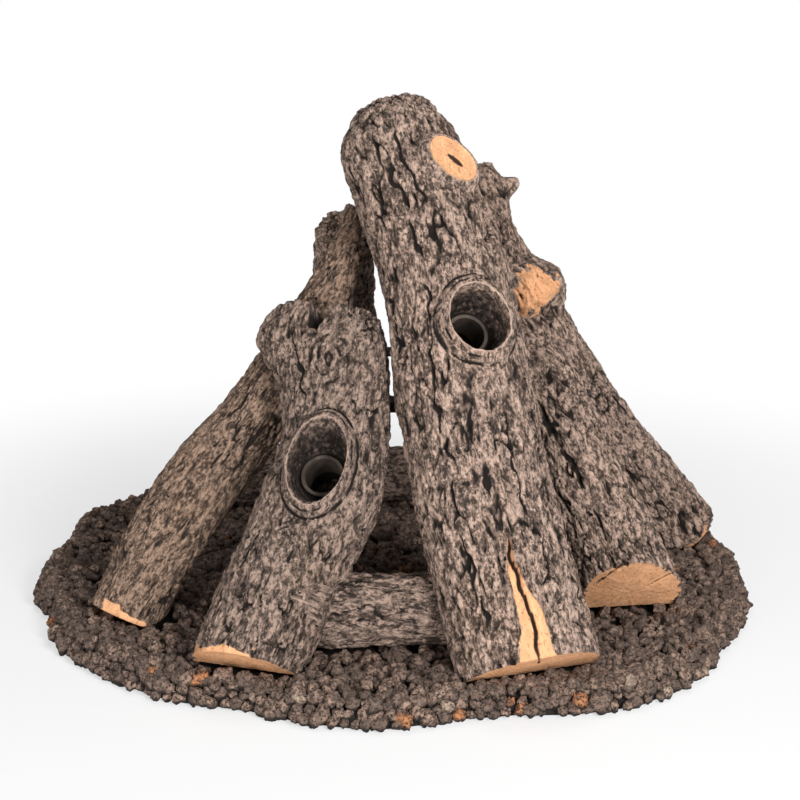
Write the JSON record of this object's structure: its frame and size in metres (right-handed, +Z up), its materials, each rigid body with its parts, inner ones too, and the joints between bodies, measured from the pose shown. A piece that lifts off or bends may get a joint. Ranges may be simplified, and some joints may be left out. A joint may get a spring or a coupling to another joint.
{
  "type": "gas log set",
  "caption": "Teepee of cast oak-bark logs with two flame knots, leaning round a steel stand and ring burner on a bed of lava granules.",
  "frame": {"origin": "on the floor under the middle of the granule bed", "axes": "+Z up, the viewer of the front stands on the -Y side, +X to that viewer's right"},
  "size_m": [0.7002, 0.7206, 0.4853],
  "materials": {
    "oak_bark": "matt cast refractory coloured as grey-brown oak bark, tan where broken or sawn",
    "brown_bark": "matt cast refractory coloured as darker brown bark",
    "sleeve_steel": "dull grey steel, sooted inside",
    "cast_rod": "ribbed bar, cast in and not seen",
    "lava": "rough porous granules, dark grey-brown with a few rust-coloured ones",
    "stand_steel": "matt black high-temperature paint",
    "burner_steel": "dull stainless steel with heat colour",
    "hub_brass": "dull machined brass",
    "clip_steel": "dull zinc-plated steel"
  },
  "bodies": {
    "base": {"burner_clip_1": "clip_steel", "burner_clip_2": "clip_steel", "burner_clip_3": "clip_steel", "burner_clip_4": "clip_steel", "burner_hub": "hub_brass", "burner_left_arc": "burner_steel", "burner_left_spoke": "burner_steel", "burner_right_arc": "burner_steel", "burner_right_spoke": "burner_steel", "clip_screws": "clip_steel", "front_base_log": "oak_bark", "front_base_log_rod": "cast_rod", "lava_bed": "lava", "left_log": "brown_bark", "left_log_rod": "cast_rod", "rear_base_log": "oak_bark", "rear_base_log_rod": "cast_rod", "stand_base_ring": "stand_steel", "stand_leg_1": "stand_steel", "stand_leg_2": "stand_steel", "stand_leg_3": "stand_steel", "stand_leg_4": "stand_steel", "stand_lower_brace": "stand_steel", "stand_top_ring": "stand_steel", "stand_upper_brace": "stand_steel"},
    "front_log": {"front_log": "oak_bark", "front_log_rod": "cast_rod", "front_log_sleeve": "sleeve_steel"},
    "front_left_log": {"front_left_log": "oak_bark", "front_left_log_rod": "cast_rod", "front_left_log_sleeve": "sleeve_steel"},
    "right_front_log": {"right_front_log": "oak_bark", "right_front_log_rod": "cast_rod"},
    "right_log": {"right_log": "oak_bark", "right_log_rod": "cast_rod"},
    "rear_log": {"rear_log": "oak_bark", "rear_log_rod": "cast_rod"}
  },
  "joints": [
    {"name": "front_log_lift", "type": "slide", "parent": "base", "child": "front_log", "axis": [0.2894, -0.7618, 0.5796], "range_m": [0, 0.25]},
    {"name": "front_left_log_lift", "type": "slide", "parent": "base", "child": "front_left_log", "axis": [-0.2606, -0.74, 0.6201], "range_m": [0, 0.25]},
    {"name": "right_front_log_lift", "type": "slide", "parent": "base", "child": "right_front_log", "axis": [0.5288, -0.637, 0.5609], "range_m": [0, 0.25]},
    {"name": "right_log_lift", "type": "slide", "parent": "base", "child": "right_log", "axis": [0.8123, 0.2893, 0.5064], "range_m": [0, 0.25]},
    {"name": "rear_log_lift", "type": "slide", "parent": "base", "child": "rear_log", "axis": [-0.0207, 0.7898, 0.613], "range_m": [0, 0.25]}
  ]
}
